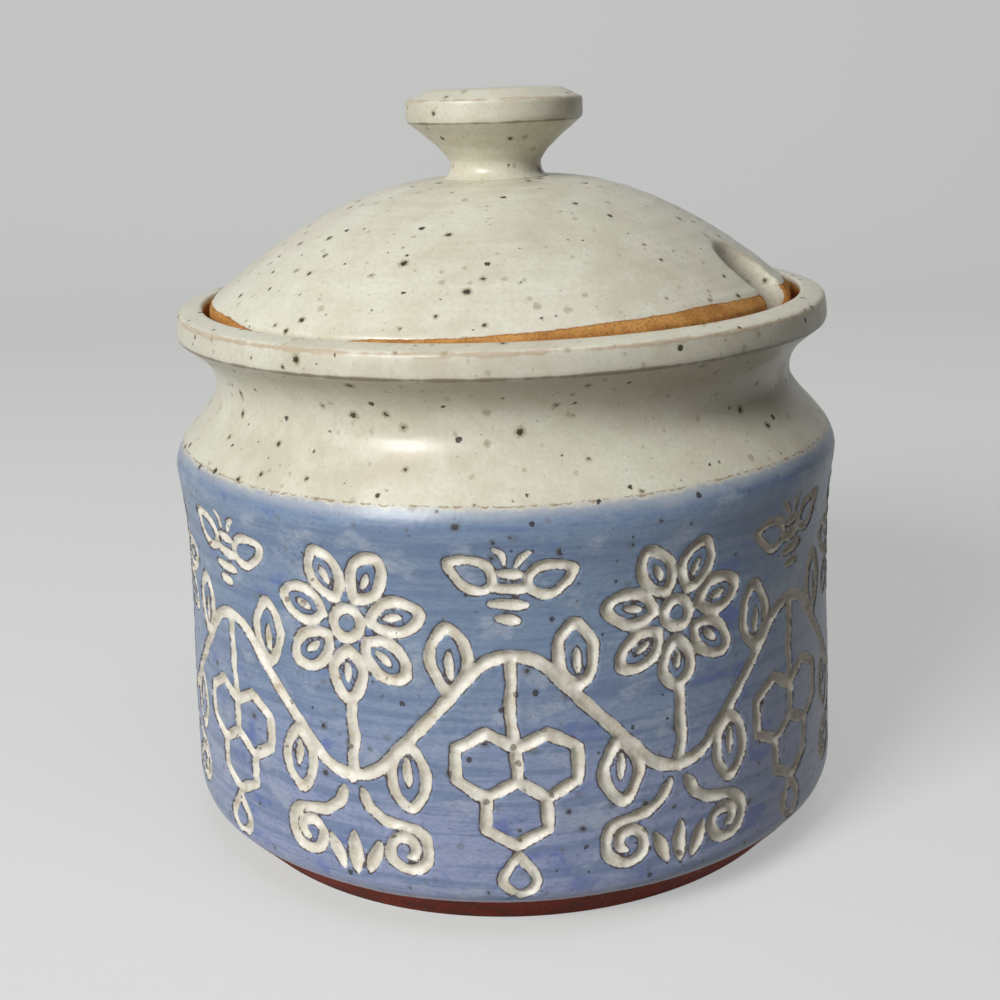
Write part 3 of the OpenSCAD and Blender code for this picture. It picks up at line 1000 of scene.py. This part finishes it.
def cream_glaze(b, specks):
    """Colour, roughness and height of the cream glaze."""
    dark, olive = specks
    middle = b.soft(b.cloud(5.5, 3, 40), 0.36, 0.68)
    fine = b.soft(b.cloud(0.7, 2, 9), 0.34, 0.7)
    colour = b.mix(b.soft(b.cloud(21), 0.38, 0.64), linear(226, 225, 206), linear(214, 210, 189))
    colour = b.mix(b.soft(b.cloud(11, 2, 61), 0.46, 0.62) * 0.5, colour, linear(221, 211, 194))
    colour = b.mix(middle * 0.5, colour, linear(236, 235, 222))
    colour = b.mix(fine * 0.3, colour, linear(200, 193, 172))
    colour = b.mix(olive, colour, linear(128, 118, 72))
    colour = b.mix(dark, colour, linear(50, 42, 28))
    uneven = (middle - 0.5) * 0.5
    thin = b.soft(b.number("thin") + uneven, 0.5, 0.1)
    colour = b.mix(thin * (0.3 + middle * 0.45), colour, linear(164, 128, 88))
    # Painted shade: a dark olive-brown line under overhanging edges, the rim's band and the knob's
    # flare.
    gathered = b.soft(b.number("gathered") + uneven * 0.4, 0.42, 0.1)
    colour = b.mix(gathered * 0.75, colour, linear(104, 84, 46))
    height = b.cloud(1.6, 1, 5) * 0.03 + b.cloud(7, 1, 3) * 0.12
    return colour, 0.32 + middle * 0.14 + dark * 0.1, height


def bare_clay(b, first, second):
    """Colour, roughness and height of clay without glaze."""
    grit = b.cloud(0.42, 2, 13)
    colour = b.mix(b.soft(b.cloud(5, 2, 31), 0.36, 0.64), first, second)
    colour = b.mix(b.soft(grit, 0.5, 0.68) * 0.5, colour, [c * 0.45 for c in second[:3]] + [1])
    pale = b.spots(b.grains(0.75), 0.05, 0.2, 0.4, 0.06)
    colour = b.mix(pale * 0.5, colour, linear(226, 188, 138))
    return colour, 0.72 + grit * 0.16, grit * 0.14


def over_clay(b, glaze, clay):
    """Glaze over clay: it ends where the number glazed goes below 0, in a scorched line."""
    glazed = b.number("glazed") + (b.cloud(1.6, 2, 55) - 0.5) * 0.35
    scorched = b.soft(abs(glazed - 0.08), 0.34, 0.05) * 0.55
    burnt = linear(128, 80, 44)
    clay = b.mix(scorched, clay[0], burnt), clay[1], clay[2]
    return b.blend(b.soft(glazed, -0.06, 0.1), b.surface(*clay, shine=0.3, coat=0), glaze)


GOLDEN_CLAY = linear(206, 152, 84), linear(180, 124, 64)
BROWN_CLAY = linear(150, 58, 36), linear(110, 42, 26)

b = Bench("cream glaze on the knob")
knob.data.materials.append(b.done(b.surface(*cream_glaze(b, iron_specks(b)))))

b = Bench("cream glaze and bare edge of the lid")
glaze = b.surface(*cream_glaze(b, iron_specks(b)))
lid.data.materials.append(b.done(over_clay(b, glaze, bare_clay(b, *GOLDEN_CLAY))))
print("cream glaze on knob and lid")

# %% [markdown]
# ### Blue glaze and cut lines
# The blue glaze was brushed or poured over the wall: grey-blue at the top, lilac lower down,
# with cobalt patches and faint level streaks. Where it meets the cream it fades to a pale band
# with a broken brown line, and at the foot it ends in a thin pinkish white line. Inside the
# cuts a white slip shows, and the sharp edges of a cut burn brown.


# %% Blue glaze and white slip
def blue_glaze(b, under_top, specks):
    """Colour, roughness and height of the blue glaze."""
    dark, olive = specks
    streak = b.cloud(9, 3, stretch=(0.3, 0.3, 5.5))
    patch = b.cloud(6.5, 4, 17, (0.8, 0.8, 1.3))
    colour = b.mix(b.soft(under_top, 16, 60), linear(134, 155, 182), linear(158, 168, 203))
    colour = b.mix(b.soft(streak, 0.45, 0.62) * 0.7, colour, linear(110, 132, 166))
    colour = b.mix(b.soft(patch, 0.53, 0.68) * 0.65, colour, linear(180, 190, 207))
    cobalt = b.soft(patch, 0.47, 0.33) * b.soft(b.cloud(24, 1, 71), 0.4, 0.62)
    colour = b.mix(cobalt * 0.8, colour, linear(92, 112, 182))
    fine = b.cloud(0.7, 2, 33, (0.7, 0.7, 1.6))
    colour = b.mix(b.soft(fine, 0.4, 0.7) * 0.35, colour, linear(104, 120, 154))
    fade = b.soft(under_top + (patch - 0.5) * 3, 2.6, 0.2)
    colour = b.mix(fade * 0.75, colour, linear(188, 194, 200))
    colour = b.mix(olive * 0.9, colour, linear(100, 96, 84))
    colour = b.mix(dark * 0.9, colour, linear(48, 41, 38))
    height = b.cloud(1.2, 2, 6) * 0.05 + b.cloud(5, 1, 2) * 0.1
    return colour, 0.3 + patch * 0.16, height


def cut_slip(b, specks):
    """Colour, roughness and height of the white slip inside a cut."""
    wide = b.cloud(3, 3, 51)
    colour = b.mix(b.soft(wide, 0.38, 0.62), linear(240, 237, 226), linear(222, 216, 200))
    colour = b.mix(b.soft(wide, 0.62, 0.74) * 0.5, colour, linear(172, 146, 106))
    colour = b.mix(specks[0] * 0.7, colour, linear(84, 66, 44))
    return colour, 0.5, b.cloud(0.9, 2, 4) * 0.12


# %% The pot's material
b = Bench("two glazes on the pot")
specks = iron_specks(b)
under_top, in_cut, glazed = (b.number(name) for name in ("blue", "cut", "glazed"))
wander = b.cloud(1.5, 3, 47) - 0.5
in_cut = in_cut + (b.cloud(0.55, 2, 19) - 0.5) * 0.24
cream, blue, slip = cream_glaze(b, specks), blue_glaze(b, under_top, specks), cut_slip(b, specks)

BURNT = linear(70, 52, 40)
broken = b.soft(wander, -0.14, 0.04)
burnt = b.soft(abs(in_cut + 0.02), 0.19, 0.04) * broken * 0.9
seam = b.soft(abs(under_top + wander * 1.4), 0.2, 0.05) * b.soft(wander, 0.06, -0.04) * 0.7
pink = b.soft(abs(glazed - 0.4), 0.4, 0.12) * b.soft(under_top, 30, 40) * 0.65
blue_colour = b.mix(pink, b.mix(burnt, blue[0], BURNT), linear(206, 190, 196))
cream_colour = b.mix(seam, cream[0], linear(140, 110, 84))
slip_colour = b.mix(burnt, slip[0], BURNT)
print("masks for seam, cuts and foot")

# %% Put the pot's surfaces together
two_glazes = b.blend(
    b.soft(under_top + wander * 1.5, -0.1, 0.9),
    b.surface(cream_colour, *cream[1:]),
    b.surface(b.mix(seam, blue_colour, linear(140, 110, 84)), *blue[1:]),
)
carved = b.blend(b.soft(in_cut, -0.03, 0.12), two_glazes, b.surface(slip_colour, *slip[1:]))
golden, brown = bare_clay(b, *GOLDEN_CLAY), bare_clay(b, *BROWN_CLAY)
clay = b.mix(b.soft(under_top, 50, 55), golden[0], brown[0]), *golden[1:]
pot.data.materials.append(b.done(over_clay(b, carved, clay)))
print("two glazes on the pot")

# %% [markdown]
# ## What moves with what
# The three pieces stand for their CAD nodes. The knob was fired onto the lid, so both ride on
# the lid's body.

# %% Bodies and nodes
for piece, node, body in ((pot, "pot", "pot"), (lid, "lid", "lid"), (knob, "knob", "lid")):
    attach(piece, body)
    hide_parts(node)

# %% [markdown]
# ## Floor and light
# A pale sweep of paper makes floor and background in one, so there is no horizon. Light that
# bounces meets it as dark cloth, so the pot's far side stays deep. The light of a window comes
# from the front left, a weak lamp hangs above, and a faint warm sky fills in the rest.

# %% Sweep
FLOOR_WIDE, BACK_HIGH, BACK_BEND = 2.4, 1.6, 0.45
GLOW = 0.45
bpy.ops.mesh.primitive_plane_add(size=FLOOR_WIDE, location=(0, -0.2, 0))
sweep = bpy.context.object
sweep.name = "paper_sweep"
edit(sweep, "VERT", [i for i, v in enumerate(sweep.data.vertices) if v.co.y > 0])
bpy.ops.mesh.select_mode(type="EDGE")
bpy.ops.mesh.extrude_region_move(TRANSFORM_OT_translate={"value": (0, 0, BACK_HIGH)})
bpy.ops.object.mode_set(mode="OBJECT")
bpy.ops.object.transform_apply(location=True)
bend = sweep.modifiers.new("bend", "BEVEL")
bend.width, bend.segments = BACK_BEND, 24
bpy.ops.object.modifier_apply(modifier=bend.name)
bpy.ops.object.shade_smooth()
b = Bench("pale paper")
kinds = ("Is Camera Ray", "Is Glossy Ray", "Is Transmission Ray")
by_eye, in_gloss, through_glass = b.node("ShaderNodeLightPath", out=kinds)
seen = by_eye.at_least(in_gloss).at_least(through_glass)
tone = b.mix(b.cloud(160), linear(229, 231, 230), linear(224, 226, 225))
tone = b.mix(seen, linear(88, 80, 78), tone)
paper = b.surface(tone, 0.75, b.cloud(3) * 0.02, 0.2, 0)
glow = b.node("ShaderNodeEmission", {}, {"Color": linear(233, 235, 234)})
sweep.data.materials.append(b.done(b.blend(seen * GLOW, paper, glow)))
print("paper sweep behind and under the pot")


# %% Lamps and sky
AIM = Vector((0, 0, 0.06))


def lamp(name, turn, lift, away, size, watts, colour=(1, 1, 1)):
    """A square lamp that points at the pot, turned from the front and lifted by degrees."""
    turn, lift = math.radians(turn), math.radians(lift)
    flat = away * math.cos(lift)
    place = AIM + Vector((flat * math.sin(turn), -flat * math.cos(turn), away * math.sin(lift)))
    made = bpy.data.lights.new(name, "AREA")
    made.shape, made.size, made.energy, made.color = "SQUARE", size, watts, colour
    holder = bpy.data.objects.new(name, made)
    bpy.context.scene.collection.objects.link(holder)
    holder.location = place
    holder.rotation_euler = (AIM - place).to_track_quat("-Z", "Y").to_euler()


lamp("window", -39, 31, 1.1, 0.42, 10.4, (1.0, 0.995, 0.98))
lamp("ceiling", 35, 75, 1.1, 0.7, 2.2)
world = bpy.data.worlds.new("room")
world.use_nodes = True
sky = world.node_tree.nodes["Background"].inputs
sky["Color"].default_value = (1.0, 0.95, 0.88, 1)
sky["Strength"].default_value = 0.09
bpy.context.scene.world = world
bpy.context.scene.view_settings.view_transform = "Standard"
print("two lamps and a faint sky")

# %% [markdown]
# ## Camera
# The camera was worked out from the circles of the rim, the shoulder and the foot: close to the
# pot, a little above it and leaning about two degrees, as a phone held by hand does.

# %% Camera
FILM_WIDE, FOCAL, DISTANCE, HEIGHT = 36, 1.438, 0.2566, 0.1309
TILT, PAN, ROLL = (math.radians(a) for a in (16.56, -0.28, -1.97))
ahead = Vector((
    math.sin(PAN) * math.cos(TILT), math.cos(PAN) * math.cos(TILT), -math.sin(TILT)
))
level = Vector((math.cos(PAN), -math.sin(PAN), 0))
upright = level.cross(ahead)
right = math.cos(ROLL) * level + math.sin(ROLL) * upright
above = -math.sin(ROLL) * level + math.cos(ROLL) * upright
camera = bpy.data.objects.new("camera", bpy.data.cameras.new("camera"))
bpy.context.scene.collection.objects.link(camera)
camera.matrix_world = (
    Matrix.Translation((0, -DISTANCE, HEIGHT))
    @ Matrix((right, above, -ahead)).transposed().to_4x4()
)
camera.data.sensor_width = FILM_WIDE
camera.data.lens = FILM_WIDE * FOCAL
camera.data.clip_start = 0.01
bpy.context.scene.camera = camera
print(f"camera {DISTANCE} m from the pot's axis, {HEIGHT} m over the table")
